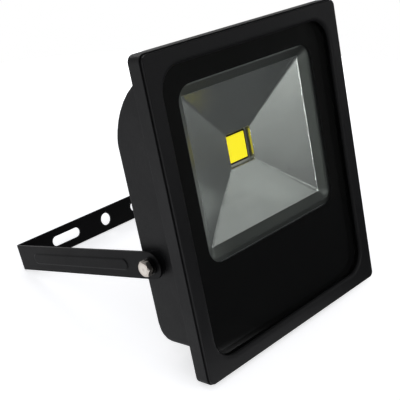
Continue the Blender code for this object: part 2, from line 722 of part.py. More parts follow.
def make_driver():
    half = DRIVER_WIDTH / 2
    case = bmesh.new()
    add_box(case, (DRIVER_X - half, BOARD_BACK - DRIVER_DEPTH, DRIVER_LOW_Z),
            (DRIVER_X + half, BOARD_BACK, DRIVER_TOP_Z))
    bmesh.ops.bevel(case, geom=case.edges[:], offset=DRIVER_EDGE, segments=1, profile=0.5, affect="EDGES")
    driver = seat(mesh_object("driver_case", case, driver_metal))
    ears = bmesh.new()
    reach = half + DRIVER_EAR
    add_box(ears, (DRIVER_X - reach, BOARD_BACK - EAR_THICKNESS, DRIVER_LOW_Z + EAR_INSET),
            (DRIVER_X + reach, BOARD_BACK, DRIVER_TOP_Z - EAR_INSET))
    join(driver, "driver_ears", ears)
    holes = bmesh.new()
    for name, screw, x, z, head_y in floor_screws():
        if screw is DRIVER_SCREW:
            add_peg(holes, screw["thread"] + FIT, x, z, head_y - OVERRUN, BOARD_BACK + OVERRUN)
    cut(driver, "driver_holes", holes)


def make_leads():
    """The two insulated wires from the driver to the light engine's lower pads."""
    floor_y = BOARD_BACK - LEAD_RADIUS
    pad_y = BOARD_FRONT - FIT - LEAD_RADIUS
    edge_z = LIGHT_Z - BOARD_HALF_Z
    route = [(pad_y, edge_z + LEAD_LAP), (pad_y, edge_z), (pad_y, edge_z - LEAD_BEND),
             (floor_y, edge_z - LEAD_DROP), (floor_y, DRIVER_TOP_Z + FIT)]
    for name, side, material in (("lead_positive", 1, red_wire), ("lead_negative", -1, black_wire)):
        curve = bpy.data.curves.new(name, "CURVE")
        curve.dimensions = "3D"
        curve.bevel_depth = LEAD_RADIUS
        curve.bevel_resolution = 1
        curve.use_fill_caps = True
        spline = curve.splines.new("POLY")
        spline.points.add(len(route) - 1)
        for point, (y, z) in zip(spline.points, route):
            point.co = (side * LEAD_SPREAD, y, z, 1.0)
        seat(link(bpy.data.objects.new(name, curve), material))


# Cable gland, drawn along Z from the face of its pad outwards

def hexagon(flats, start, end):
    bm = bmesh.new()
    add_rod(bm, flats / math.sqrt(3), (0.0, 0.0, start), (0.0, 0.0, end), 6)
    return bm


def make_gland():
    place = (GLAND_X, GLAND_PAD, GLAND_Z)
    hex_end = FIT + GLAND_HEX_HEIGHT
    collar_end = hex_end + GLAND_COLLAR_LENGTH
    nut_start = hex_end + FIT
    nut_end = nut_start + GLAND_NUT_LENGTH
    chamber_end = nut_end - GLAND_END_WALL - OVERRUN
    make_gland_body(place, hex_end, collar_end)
    make_gland_nut(place, nut_start, nut_end, collar_end + FIT, chamber_end)
    outer = GLAND_CHAMBER_RADIUS - FIT
    start, end = collar_end + 2 * FIT, chamber_end - FIT
    profile = [(SEAL_BORE_RADIUS, end), (outer, end), (outer, start), (SEAL_BORE_RADIUS, start)]
    seat(turned("gland_seal", profile, silicone, loop=True), place, OUTWARD)


def make_gland_body(place, hex_end, collar_end):
    """Hexagon, the thread through the housing's wall, and the collar that the nut closes over."""
    thread_end = CAVITY_BACK - GLAND_PAD + OVERRUN
    inside = hex_end - OVERRUN
    body = seat(mesh_object("gland_body", hexagon(GLAND_HEX_FLATS, FIT, hex_end), nylon), place, OUTWARD)
    core = turned("gland_core", [
        (0.0, collar_end), (GLAND_COLLAR_RADIUS, collar_end), (GLAND_COLLAR_RADIUS, inside),
        (GLAND_THREAD_RADIUS, inside), (GLAND_THREAD_RADIUS, thread_end), (0.0, thread_end),
    ])
    boolean(body, seat(core, place, OUTWARD), "UNION")
    drill = bmesh.new()
    ends = (0.0, 0.0, thread_end - OVERRUN), (0.0, 0.0, collar_end + OVERRUN)
    add_rod(drill, GLAND_BORE_RADIUS, *ends)
    boolean(body, seat(mesh_object("gland_bore", drill), place, OUTWARD), "DIFFERENCE")


def make_gland_nut(place, start, end, chamber_start, chamber_end):
    """Hexagon with a domed end, hollow for the collar and the seal."""
    shoulder = end - GLAND_DOME
    nut = seat(mesh_object("gland_nut", hexagon(GLAND_NUT_FLATS, start, shoulder), nylon), place, OUTWARD)
    foot = GLAND_NUT_FLATS / 2 - FIT
    dome = turned("gland_dome", [
        (0.0, end), (GLAND_BORE_RADIUS + GLAND_RIM, end), (foot - GLAND_CHAMFER, end - GLAND_CHAMFER),
        (foot, shoulder - OVERRUN), (0.0, shoulder - OVERRUN),
    ])
    boolean(nut, seat(dome, place, OUTWARD), "UNION")
    socket = GLAND_COLLAR_RADIUS + FIT
    hollow = turned("gland_hollow", [
        (0.0, end + OVERRUN), (GLAND_BORE_RADIUS, end + OVERRUN), (GLAND_BORE_RADIUS, end - GLAND_END_WALL),
        (GLAND_CHAMBER_RADIUS, chamber_end), (GLAND_CHAMBER_RADIUS, chamber_start),
        (socket, chamber_start), (socket, start - OVERRUN), (0.0, start - OVERRUN),
    ])
    boolean(nut, seat(hollow, place, OUTWARD), "DIFFERENCE")


# Fasteners

def make_screw(name, size, place, into):
    """A pan-head screw. The seat is under its head, and it points along `into`."""
    thread, head, height = size["thread"], size["head"], size["height"]
    tip = FIT - size["length"]
    profile = [
        (0.0, FIT + height), (head * 0.62, FIT + height * 0.92), (head * 0.92, FIT + height * 0.6),
        (head, FIT), (thread, FIT), (thread, tip + thread / 2), (thread / 2, tip), (0.0, tip),
    ]
    turn = Vector(into).to_track_quat("-Z", "Y").to_euler()
    seat(turned(name, profile, stainless, 12), place, turn)


def make_screws():
    forward, rearward = (0.0, -1.0, 0.0), (0.0, 1.0, 0.0)
    for (side, level), name in zip(CORNERS, CORNER_NAMES):
        place = (side * SCREW_X, FLANGE_BACK, level * SCREW_Z)
        make_screw(f"frame_screw_{name}", FRAME_SCREW, place, forward)
    for (x, z), name in zip(post_places(), CORNER_NAMES):
        make_screw(f"reflector_screw_{name}", POST_SCREW, (x, MOUTH_Y, z), rearward)
    for name, screw, x, z, head_y in floor_screws():
        make_screw(name, screw, (x, head_y, z), rearward)


def make_pivot(side, name):
    """Flat washer, spring washer and bolt on one side, from the arm outwards."""
    turn = (0.0, side * QUARTER, 0.0)
    hole = BOLT_RADIUS + FIT
    flat_start = ARM_OUTER + FIT
    spring_start = flat_start + FLAT_WASHER + FIT
    spring_end = spring_start + SPRING_WASHER
    for label, radius, start, thickness in (
            ("flat_washer", FLAT_WASHER_RADIUS, flat_start, FLAT_WASHER),
            ("spring_washer", SPRING_WASHER_RADIUS, spring_start, SPRING_WASHER)):
        end = start + thickness
        profile = [(hole, end), (radius, end), (radius, start), (hole, start)]
        washer = seat(turned(f"{label}_{name}", profile, stainless, loop=True), PIVOT, turn)
    split = bmesh.new()
    add_box(split, (-SPLIT_WIDTH / 2, BOLT_RADIUS - OVERRUN, spring_start - OVERRUN),
            (SPLIT_WIDTH / 2, SPRING_WASHER_RADIUS + OVERRUN, spring_end + OVERRUN))
    slant = Matrix.Rotation(SPLIT_SLANT, 3, "Y")
    bmesh.ops.rotate(split, verts=split.verts, matrix=slant, cent=(0.0, 0.0, (spring_start + spring_end) / 2))
    boolean(washer, seat(mesh_object(f"washer_split_{name}", split), PIVOT, turn), "DIFFERENCE")
    make_bolt(name, spring_end + FIT, turn)


def make_bolt(name, start, turn):
    """A hexagon-head bolt, with the corners of its head turned off."""
    end = start + BOLT_HEAD
    inside = start + OVERRUN
    bolt = seat(mesh_object(f"pivot_bolt_{name}", hexagon(BOLT_FLATS, start, end), stainless), PIVOT, turn)
    flat = BOLT_FLATS / 2 - FIT
    wide = BOLT_FLATS / math.sqrt(3) + FIT
    crown = turned(f"bolt_crown_{name}", [
        (0.0, end), (flat, end), (wide, end - BOLT_CROWN), (wide, start - OVERRUN), (0.0, start - OVERRUN),
    ])
    boolean(bolt, seat(crown, PIVOT, turn), "INTERSECT")
    tip = BOSS_FACE - BOLT_GRIP
    shank = turned(f"bolt_shank_{name}", [
        (0.0, inside), (BOLT_RADIUS, inside), (BOLT_RADIUS, tip + BOLT_TIP),
        (BOLT_RADIUS - BOLT_TIP, tip), (0.0, tip),
    ], segments=16)
    boolean(bolt, seat(shank, PIVOT, turn), "UNION")


# Bracket, drawn from the pivots back along Y with its strip's width along Z

def strip_outline():
    """Plan of the bent strip: the outside from the right arm round to the left, then back inside."""
    end = -STRIP_END_WIDTH / 2
    outer_bend = STRIP_BEND + STRIP_THICKNESS
    outer_x, outer_y = ARM_OUTER - outer_bend, BRACKET_REACH - outer_bend
    inner_x, inner_y = ARM_INNER - STRIP_BEND, BRACKET_REACH - STRIP_THICKNESS - STRIP_BEND
    outline = [(ARM_OUTER, end)]
    outline += arc((outer_x, outer_y), outer_bend, 0.0, QUARTER, 5)
    outline += arc((-outer_x, outer_y), outer_bend, QUARTER, 2 * QUARTER, 5)
    outline += [(-ARM_OUTER, end), (-ARM_INNER, end)]
    outline += arc((-inner_x, inner_y), STRIP_BEND, 2 * QUARTER, QUARTER, 5)
    outline += arc((inner_x, inner_y), STRIP_BEND, QUARTER, 0.0, 5)
    outline += [(ARM_INNER, end)]
    return outline


def slot_outline(middle_x):
    """Outline of a web slot, across X and Z."""
    radius = WEB_SLOT_WIDTH / 2
    run = WEB_SLOT_LENGTH / 2 - radius
    right = arc((middle_x + run, 0.0), radius, -QUARTER, QUARTER, 8)
    left = arc((middle_x - run, 0.0), radius, QUARTER, 3 * QUARTER, 8)
    return right + left


def rib_outline(inset):
    """Outline of the rib pressed into an arm, along Y and Z."""
    radius = RIB_WIDTH / 2 - inset
    near = RIB_SETBACK + RIB_WIDTH / 2
    far = BRACKET_REACH - RIB_SETBACK - RIB_WIDTH / 2
    return arc((far, 0.0), radius, -QUARTER, QUARTER, 8) + arc((near, 0.0), radius, QUARTER, 3 * QUARTER, 8)


def press_ribs(bracket):
    """Raise a rib on the outside of each arm, and hollow it from the inside."""
    sections = [(-OVERRUN, -OVERRUN * RIB_SLOPE / RIB_HEIGHT), (RIB_HEIGHT, RIB_SLOPE)]
    for side, name in ((-1, "left"), (1, "right")):
        for label, face, operation in (("rib", ARM_OUTER, "UNION"), ("rib_hollow", ARM_INNER, "DIFFERENCE")):
            rings = []
            for rise, inset in sections:
                rings.append([(side * (face + rise), y, z) for y, z in rib_outline(inset)])
            body = mesh_object(f"{label}_{name}", loft(rings))
            body.parent = bracket_pivot
            boolean(bracket, body, operation)


def taper_arms(bm):
    """Narrow the strip evenly from the web to the ends of the arms."""
    for vert in bm.verts:
        along = min(max(vert.co.y / BRACKET_REACH, 0.0), 1.0)
        vert.co.z *= along + (1 - along) * STRIP_END_WIDTH / STRIP_WIDTH


def round_arm_ends(bm):
    end = -STRIP_END_WIDTH / 2
    tips = []
    for edge in bm.edges:
        first, second = (vert.co for vert in edge.verts)
        if abs(first.y - end) < FIT and abs(second.y - end) < FIT and abs(first.z - second.z) < FIT:
            tips.append(edge)
    bmesh.ops.bevel(bm, geom=tips, offset=(STRIP_END_WIDTH - STRIP_TIP_FLAT) / 2, offset_type="OFFSET",
                    segments=9, profile=0.5, affect="EDGES", clamp_overlap=False)


def make_bracket():
    bm = bmesh.new()
    outline = [(x, y, -STRIP_WIDTH / 2) for x, y in strip_outline()]
    extrude(bm, outline, (0.0, 0.0, STRIP_WIDTH))
    taper_arms(bm)
    round_arm_ends(bm)
    bracket = mesh_object("u_bracket", bm, powder_coat)
    bracket.parent = bracket_pivot
    press_ribs(bracket)
    holes = bmesh.new()
    reach = ARM_OUTER + OVERRUN
    add_rod(holes, BOLT_RADIUS + FIT, (-reach, 0.0, 0.0), (reach, 0.0, 0.0), 20)
    start = BRACKET_REACH - STRIP_THICKNESS - OVERRUN
    through = STRIP_THICKNESS + 2 * OVERRUN
    add_peg(holes, WEB_HOLE_RADIUS, 0.0, 0.0, start, start + through, 28)
    for side in (-1, 1):
        extrude(holes, [(x, start, z) for x, z in slot_outline(side * WEB_SLOT_X)], (0.0, through, 0.0))
    cutter = mesh_object("bracket_holes", holes)
    cutter.parent = bracket_pivot
    boolean(bracket, cutter, "DIFFERENCE")


# Stance: the lamp stands on its frame's lower back edge and on the bracket's web

def turn_x(y, z, angle):
    return y * math.cos(angle) - z * math.sin(angle), y * math.sin(angle) + z * math.cos(angle)


def stance():
    """Lean of the head, and the pivot's place, with the floor at zero and the middle at the origin."""
    front_foot = (FRAME_DEPTH - FRAME_EDGE - PIVOT_Y, -HALF_Z - PIVOT_Z)
    rear_foot = turn_x(BRACKET_REACH, -STRIP_WIDTH / 2, BRACKET_SLOPE)
    lean = -math.atan2(rear_foot[1] - front_foot[1], rear_foot[0] - front_foot[0])
    height = -turn_x(*front_foot, lean)[1]
    nose = turn_x(-PIVOT_Y, FRAME_EDGE - BEZEL_Z - PIVOT_Z, lean)[0]
    tail = turn_x(BRACKET_REACH, STRIP_WIDTH / 2, lean + BRACKET_SLOPE)[0]
    return lean, Vector((0.0, -(nose + tail) / 2, height))


clear_scene()
parts = new_collection("floodlight")
cutters = new_collection("floodlight_cutters")

powder_coat = new_material("black_powder_coat", (0.022, 0.022, 0.023), 0.5)
glass = new_material("toughened_glass", (0.9, 0.93, 0.92), 0.03, 0.0, 0.35)
silicone = new_material("black_silicone", (0.02, 0.02, 0.02), 0.7)
bright_aluminium = new_material("reflector_aluminium", (0.72, 0.74, 0.74), 0.28, 1.0)
ceramic_white = new_material("led_board_white", (0.78, 0.78, 0.74), 0.45)
phosphor = new_material("yellow_phosphor", (0.9, 0.78, 0.02), 0.5)
driver_metal = new_material("driver_can_aluminium", (0.6, 0.61, 0.62), 0.4, 1.0)
red_wire = new_material("red_wire", (0.5, 0.02, 0.02), 0.5)
black_wire = new_material("black_wire", (0.02, 0.02, 0.02), 0.5)
nylon = new_material("black_nylon", (0.02, 0.02, 0.021), 0.45)
stainless = new_material("stainless_steel", (0.62, 0.6, 0.57), 0.28, 1.0)

head_lean, pivot_place = stance()
head_pivot = new_empty("head_pivot", pivot_place, head_lean)
bracket_pivot = new_empty("bracket_pivot", pivot_place, head_lean + BRACKET_SLOPE)

make_front_frame()
make_glass()
make_gasket()
make_housing()
make_reflector()
make_light_engine()
make_driver()
make_leads()
make_gland()
make_screws()
make_pivot(-1, "left")
make_pivot(1, "right")
make_bracket()
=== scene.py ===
import bpy
import bmesh
import math
from mathutils import Matrix, Vector


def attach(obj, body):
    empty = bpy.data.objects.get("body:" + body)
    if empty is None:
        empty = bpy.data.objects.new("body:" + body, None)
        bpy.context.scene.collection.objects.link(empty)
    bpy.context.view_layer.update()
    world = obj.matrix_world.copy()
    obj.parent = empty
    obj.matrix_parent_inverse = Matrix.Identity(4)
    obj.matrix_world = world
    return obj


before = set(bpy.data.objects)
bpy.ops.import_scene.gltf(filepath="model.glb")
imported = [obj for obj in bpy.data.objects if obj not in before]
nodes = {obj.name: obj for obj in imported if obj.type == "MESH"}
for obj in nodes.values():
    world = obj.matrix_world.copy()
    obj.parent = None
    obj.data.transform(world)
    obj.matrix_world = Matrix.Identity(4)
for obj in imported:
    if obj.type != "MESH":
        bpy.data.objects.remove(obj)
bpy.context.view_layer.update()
mm = 0.001


# ---- objects and the camera

def addObject(name, data):
    made = bpy.data.objects.new(name, data)
    bpy.context.scene.collection.objects.link(made)
    return made


def addMesh(name, bm):
    mesh = bpy.data.meshes.new(name)
    bm.to_mesh(mesh)
    bm.free()
    return addObject(name, mesh)


cameraSettings = {
    # the place and angle that the photograph was taken from
    "place": (-0.5166, -0.51809, 0.46421),
    "turn": (62.706, 0.334, -45.85),
    "lens": 73.646,
    "sensor": 36.0,
}


def makeCamera(settings):
    data = bpy.data.cameras.new("camera")
    data.lens = settings["lens"]
    data.sensor_width = settings["sensor"]
    camera = addObject("camera", data)
    camera.location = settings["place"]
    camera.rotation_euler = [math.radians(a) for a in settings["turn"]]
    bpy.context.scene.camera = camera


makeCamera(cameraSettings)
print("camera placed")


# ---- how the head stands: it leans back about the pivot bolts

headLean = math.radians(-14.98911505537322)
pivotInWorld = Vector((0, -0.069414, 0.092032))
pivotInHead = Vector((0, 0.0505, -0.0385))  # the same point in a head that stands upright
headPlace = (Matrix.Translation(pivotInWorld) @ Matrix.Rotation(headLean, 4, "X")
             @ Matrix.Translation(-pivotInHead))
emitterUp = 32.19 * mm  # the emitter's middle over the upright head's own


# ---- small tools for materials

def linear(code):
    # sRGB hex to the linear colour that nodes take
    values = [int(code[i:i + 2], 16) / 255 for i in (0, 2, 4)]
    return [v / 12.92 if v <= 0.04045 else ((v + 0.055) / 1.055) ** 2.4 for v in values] + [1.0]


white = linear("ffffff")


def addNode(tree, kind, inputs=None, ramp=None, **settings):
    # one node, its settings, what goes into its sockets and its colour stops
    node = tree.nodes.new("ShaderNode" + kind)
    for name, value in settings.items():
        setattr(node, name, value)
    for socket, value in (inputs or {}).items():
        if isinstance(value, bpy.types.NodeSocket):
            tree.links.new(value, node.inputs[socket])
        else:
            node.inputs[socket].default_value = value
    for place, (position, code) in enumerate(ramp or []):
        stops = node.color_ramp.elements
        stop = stops[place] if place < 2 else stops.new(position)
        stop.position = position
        stop.color = linear(code)
    return node


def newMaterial(name):
    # an empty material, its nodes and the coordinates that its patterns follow
    material = bpy.data.materials.new(name)
    material.use_nodes = True
    tree = material.node_tree
    tree.nodes.clear()
    return material, tree, addNode(tree, "TexCoord").outputs["Object"]


def toneAndGloss(tree, value, look):
    # one pattern picks both the colour and the roughness, each over its own span of values
    start, end = look["toneSpan"]
    tone = addNode(tree, "ValToRGB", {"Fac": value},
                   ramp=[(start, look["dark"]), (end, look["light"])])
    start, end = look["glossSpan"]
    atStart, atEnd = look["roughness"]
    gloss = addNode(tree, "MapRange", {"Value": value, "From Min": start, "From Max": end,
                                       "To Min": atStart, "To Max": atEnd})
    return tone.outputs["Color"], gloss.outputs["Result"]


def grainSockets(tree, place, look):
    # the colour, roughness and relief of a surface with one fine grain
    grain = addNode(tree, "TexNoise", {"Vector": place, "Scale": 1 / look["grain"],
                                       "Detail": look["detail"], "Roughness": look["ragged"]})
    tone, gloss = toneAndGloss(tree, grain.outputs["Fac"], look)
    bump = addNode(tree, "Bump", {"Strength": look["bumpShare"], "Distance": look["bump"],
                                  "Height": grain.outputs["Fac"]})
    return tone, gloss, bump.outputs["Normal"]


def grainedSkin(name, look):
    material, tree, place = newMaterial(name)
    tone, gloss, normal = grainSockets(tree, place, look)
    skin = addNode(tree, "BsdfPrincipled", {"Base Color": tone, "Metallic": look["metallic"],
                                            "Roughness": gloss, "Normal": normal})
    addNode(tree, "OutputMaterial", {"Surface": skin.outputs["BSDF"]})
    return material


def rightAndAbove(tree, place):
    # how far a point lies to the right of the emitter's middle and above it, along the head
    level = addNode(tree, "Mapping", {"Vector": place, "Rotation": (-headLean, 0, 0),
                                      "Location": headPlace.inverted().translation})
    parts = addNode(tree, "SeparateXYZ", {0: level.outputs[0]})
    above = addNode(tree, "Math", {0: parts.outputs["Z"], 1: emitterUp}, operation="SUBTRACT")
    return parts.outputs["X"], above.outputs[0]


def pastRectangle(tree, right, above, halves):
    # how far it lies outside a rectangle round that middle, below zero inside
    past = []
    for distance, half in zip((right, above), halves):
        apart = addNode(tree, "Math", {0: distance}, operation="ABSOLUTE")
        over = addNode(tree, "Math", {0: apart.outputs[0], 1: half}, operation="SUBTRACT")
        past.append(over.outputs[0])
    return addNode(tree, "Math", {0: past[0], 1: past[1]}, operation="MAXIMUM").outputs[0]


def dress(material, *names):
    # puts a material in the slots of CAD nodes
    for name in names:
        mesh = nodes[name].data
        if not mesh.materials:
            mesh.materials.append(material)
        for place in range(len(mesh.materials)):
            mesh.materials[place] = material


edgeSamples = 4  # of the Bevel node, which rounds edges only to the eye
wavePeriod = math.pi / 10  # of a Wave node at scale 1, in metres


# ---- powder coat

castCoat = {
    # polyester powder baked on a die casting: near black and half matt, with a pebbled grain
    "dark": "121213",
    "light": "181819",
    "toneSpan": (0.36, 0.64),
    "patch": 60 * mm,
    "grain": 1.3 * mm,  # the real grain is about 0.5 mm, which the render can't show
    "swell": 9 * mm,
    "swellShare": 1.6,  # the powder's slow swell stands higher than its grain
    "roughness": (0.44, 0.60),
    "glossSpan": (0.35, 0.65),
    "specular": 0.20,
    "bump": 0.16 * mm,
    "bumpShare": 0.5,
    "edge": 0.7 * mm,  # powder rounds every edge
}

stripCoat = {
    # the same powder on rolled steel strip, flatter and a little smoother than a casting; its
    # colours are darker than the casting's, as painted shade for the web in the head's shadow
    **castCoat,
    # painted shade: darker than the casting's powder
    "dark": "0a0a0b",
    "light": "0f0f10",
    "patch": 45 * mm,
    "grain": 1.0 * mm,
    "swell": 14 * mm,
    "roughness": (0.40, 0.52),
    "specular": 0.09,
    "bump": 0.09 * mm,
    "edge": 0.5 * mm,
}


def powderCoat(name, look):
    material, tree, place = newMaterial(name)
    patches, grain, swell = [
        addNode(tree, "TexNoise", {"Vector": place, "Scale": 1 / look[size],
                                   "Detail": detail}).outputs["Fac"]
        for size, detail in (("patch", 3.0), ("grain", 2.0), ("swell", 1.0))]
    mixed = addNode(tree, "Math", {0: patches, 1: grain}, operation="ADD")
    halved = addNode(tree, "Math", {0: mixed.outputs[0], 1: 0.5}, operation="MULTIPLY")
    tone, gloss = toneAndGloss(tree, halved.outputs[0], look)
    height = addNode(tree, "Math", {0: swell, 1: look["swellShare"], 2: grain},
                     operation="MULTIPLY_ADD")
    edges = addNode(tree, "Bevel", {"Radius": look["edge"]}, samples=edgeSamples)
    bump = addNode(tree, "Bump", {"Strength": look["bumpShare"], "Distance": look["bump"],
                                  "Height": height.outputs[0], "Normal": edges.outputs["Normal"]})
    skin = addNode(tree, "BsdfPrincipled", {
        "Base Color": tone,
        "Roughness": gloss,
        "Normal": bump.outputs["Normal"],
        "Specular IOR Level": look["specular"],
    })
    addNode(tree, "OutputMaterial", {"Surface": skin.outputs["BSDF"]})
    return material


dress(powderCoat("powderCoatOnCasting", castCoat), "front_frame", "back_housing")
dress(powderCoat("powderCoatOnSteelStrip", stripCoat), "u_bracket")
print("castings and bracket coated")


# ---- steel

boltSteel = {
    # turned and faced stainless steel: bright, slightly warm, with faint rings round the axis
    "dark": "c2b9b0",
    "light": "e0d9d0",
    "toneSpan": (0.35, 0.95),
    "ring": 5.65487 * mm,  # real tool marks are 0.1 mm apart, far too fine to show at this size
    "ringShare": 0.5,
    "wander": 0.6,  # how far the rings stray from true
    "scratch": 0.5 * mm,
    "roughness": (0.24, 0.42),
    "glossSpan": (0.3, 1.0),
    "bump": 0.02 * mm,
    "bumpShare": 0.4,
}

screwSteel = {
    # rolled and headed stainless screws: bright metal, blurred by tumbling
    "dark": "a9a6a2",
    "light": "cfccc8",
    "toneSpan": (0.36, 0.66),
    "grain": 0.7 * mm,
    "detail": 4.0,
    "ragged": 0.6,
    "metallic": 1.0,
    "roughness": (0.44, 0.26),  # the light marks are the smoother ones
    "glossSpan": (0.3, 0.7),
    "bump": 0.02 * mm,
    "bumpShare": 0.4,
}

blackSteel = {
    # blackened spring steel: dark oil finish, which shows grey on its edges
    **screwSteel,
    "dark": "1c1c1d",
    "light": "4a4846",
    "grain": 1.1 * mm,
    "roughness": (0.55, 0.34),
    "bump": 0.03 * mm,
}


def turnedSteel(name, look):
    material, tree, place = newMaterial(name)
    centred = addNode(tree, "Mapping", {"Vector": place, "Location": -pivotInWorld})
    rings = addNode(tree, "TexWave", {"Vector": centred.outputs[0],
                                      "Scale": wavePeriod / look["ring"],
                                      "Distortion": look["wander"], "Detail": 2.0,
                                      "Detail Scale": 4.0},
                    wave_type="RINGS", rings_direction="X")
    marks = addNode(tree, "TexNoise", {"Vector": place, "Scale": 1 / look["scratch"],
                                       "Detail": 3.0})
    both = addNode(tree, "Math", {0: rings.outputs["Fac"], 1: look["ringShare"],
                                  2: marks.outputs["Fac"]}, operation="MULTIPLY_ADD")
    tone, gloss = toneAndGloss(tree, both.outputs[0], look)
    bump = addNode(tree, "Bump", {"Strength": look["bumpShare"], "Distance": look["bump"],
                                  "Height": both.outputs[0]})
    metal = addNode(tree, "BsdfPrincipled", {"Base Color": tone, "Metallic": 1.0,
                                             "Roughness": gloss, "Normal": bump.outputs["Normal"]})
    addNode(tree, "OutputMaterial", {"Surface": metal.outputs["BSDF"]})
    return material


sides = ("left", "right")
corners = ("upper_left", "upper_right", "lower_right", "lower_left")
dress(turnedSteel("turnedStainlessSteel", boltSteel), *["pivot_bolt_" + side for side in sides])
dress(grainedSkin("tumbledStainlessSteel", screwSteel), "earth_screw",
      *["driver_screw_" + side for side in sides],
      *[kind + "_screw_" + corner for kind in ("frame", "led", "reflector") for corner in corners])
dress(grainedSkin("blackenedSpringSteel", blackSteel),
      *[kind + "_washer_" + side for kind in ("flat", "spring") for side in sides])
print("bolts, screws and washers finished")


# ---- glass and its black print

glassLook = {
    # toughened float glass: colourless and mirror smooth, so it only shows what it reflects
    "tint": "fcfdfc",
    "film": 25 * mm,  # patches of the faint film on any glass
    "roughness": (0.018, 0.048),
    "glossSpan": (0.3, 0.7),
    "faceOn": 0.04,  # share that a glass surface reflects face on
    "slant": 5.0,  # and the power by which that grows to all of it at a slant
}

printSize = {
    "outer": (217.0 * mm, 257.6 * mm),
    "outerCorner": 23 * mm,
    "clear": (172.8 * mm, 156.3 * mm),  # the window
    "clearCorner": 15.5 * mm,
    "clearUp": 30.75 * mm,
    "front": 8.82 * mm,
    "thickness": 0.09 * mm,
    "cornerSteps": 12,
}

printLook = {
    # black ceramic enamel fired on the back of the glass: deep black, dense, faintly stippled
    "dark": "060606",
    "light": "0b0b0b",
    "toneSpan": (0.35, 0.7),
    "stipple": 0.9 * mm,
    "roughness": (0.48, 0.56),
    "glossSpan": (0.3, 0.7),
    "specular": 0.05,  # it lies against glass, so it has little gloss of its own
}


def glassPane(name, look):
    material, tree, place = newMaterial(name)
    facing = addNode(tree, "LayerWeight", {"Blend": 0.5}).outputs["Facing"]
    steep = addNode(tree, "Math", {0: facing, 1: look["slant"]}, operation="POWER")
    share = addNode(tree, "Math", {0: steep.outputs[0], 1: 1 - look["faceOn"],
                                   2: look["faceOn"]}, operation="MULTIPLY_ADD")
    film = addNode(tree, "TexNoise", {"Vector": place, "Scale": 1 / look["film"], "Detail": 3.0})
    start, end = look["glossSpan"]
    atStart, atEnd = look["roughness"]
    gloss = addNode(tree, "MapRange", {"Value": film.outputs["Fac"], "From Min": start,
                                       "From Max": end, "To Min": atStart, "To Max": atEnd})
    shine = addNode(tree, "BsdfPrincipled", {"Base Color": white, "Metallic": 1.0,
                                             "Roughness": gloss.outputs["Result"]})
    clear = addNode(tree, "BsdfTransparent", {"Color": linear(look["tint"])})
    both = addNode(tree, "MixShader", {0: share.outputs[0], 1: clear.outputs[0],
                                       2: shine.outputs[0]})
    addNode(tree, "OutputMaterial", {"Surface": both.outputs[0]})
    return material


def roundedOutline(bm, size, corner, steps, up, depth):
    # an upright rectangle with round corners, at a depth
    verts = bmesh.ops.create_grid(bm, x_segments=1, y_segments=1, size=0.5)["verts"]
    bmesh.ops.scale(bm, vec=(size[0], size[1], 1), verts=verts)
    bmesh.ops.rotate(bm, matrix=Matrix.Rotation(math.radians(90), 3, "X"), verts=verts)
    bmesh.ops.translate(bm, vec=(0, depth, up), verts=verts)
    bmesh.ops.bevel(bm, geom=verts, offset=corner, offset_type="OFFSET", segments=steps,
                    profile=0.5, affect="VERTICES", material=-1)


def makePrint(size):
    bm = bmesh.new()
    for outline, corner, up in (
        (size["outer"], size["outerCorner"], 0.0),
        (size["clear"], size["clearCorner"], size["clearUp"]),
    ):
        roundedOutline(bm, outline, corner, size["cornerSteps"], up, size["front"])
    bmesh.ops.delete(bm, geom=list(bm.faces), context="FACES_ONLY")
    bmesh.ops.bridge_loops(bm, edges=list(bm.edges))
    raised = bmesh.ops.extrude_face_region(bm, geom=list(bm.faces))
    bmesh.ops.translate(bm, vec=(0, size["thickness"], 0),
                        verts=[v for v in raised["geom"] if isinstance(v, bmesh.types.BMVert)])
    bmesh.ops.recalc_face_normals(bm, faces=list(bm.faces))
    bm.transform(headPlace)
    return addMesh("glass_print", bm)


def enamelPrint(name, look):
    material, tree, place = newMaterial(name)
    stipple = addNode(tree, "TexNoise", {"Vector": place, "Scale": 1 / look["stipple"],
                                         "Detail": 3.0})
    tone, gloss = toneAndGloss(tree, stipple.outputs["Fac"], look)
    enamel = addNode(tree, "BsdfPrincipled", {"Base Color": tone, "Roughness": gloss,
                                              "Specular IOR Level": look["specular"]})
    addNode(tree, "OutputMaterial", {"Surface": enamel.outputs["BSDF"]})
    return material


dress(glassPane("toughenedGlass", glassLook), "glass_pane")
glassPrint = makePrint(printSize)
glassPrint.data.materials.append(enamelPrint("blackEnamelPrint", printLook))
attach(glassPrint, "head")
print("glass and print made")


# ---- what is behind the glass

reflectorLook = {
    # rolled and anodised aluminium sheet: a soft mirror with a fine grain
    "dark": "d2d5d3",
    "light": "dde0de",
    "toneSpan": (0.35, 0.65),
    "grain": 1.2 * mm,
    "ragged": 0.65,
    "patch": 30 * mm,
    "metallic": 0.88,  # the anodised skin is slightly milky
    "roughness": (0.225, 0.24),
    "glossSpan": (0.35, 0.65),
    "bump": 0.003 * mm,
    "bumpShare": 0.35,
    "fold": 1.0 * mm,  # a folded sheet turns over a small radius
    "panels": (75.9 * mm, 66.9 * mm),  # half width and height inside the lip
    "lip": 12 * mm,  # the drawn lip and the flange past it
    "paintedLipShades": ("868987", "626563"),  # painted shade, darker than the panels: lighter at upper left, darker at lower right, for the print's shade on the lip
    "lipShadeTurn": 20 * mm,  # how gradually the painted shade turns from one tone into the other
    "scuffed": 0.16,  # the roughness that drawing adds to the lip
}

phosphorLook = {
    # phosphor cast in clear silicone over rows of chips: an even bright yellow, slightly quilted
    "dark": "f2dc12",
    "light": "fff02a",
    "toneSpan": (0.3, 0.7),
    "chip": 2.6 * mm,
    "chipShare": 0.6,
    "grain": 0.8 * mm,
    "glow": 0.70,  # painted glow: the phosphor gives off light in its own colour though the chips are off, for how phosphor turns the blue of daylight into more yellow
    "roughness": 0.32,
    "bump": 0.08 * mm,
    "bumpShare": 0.3,
}

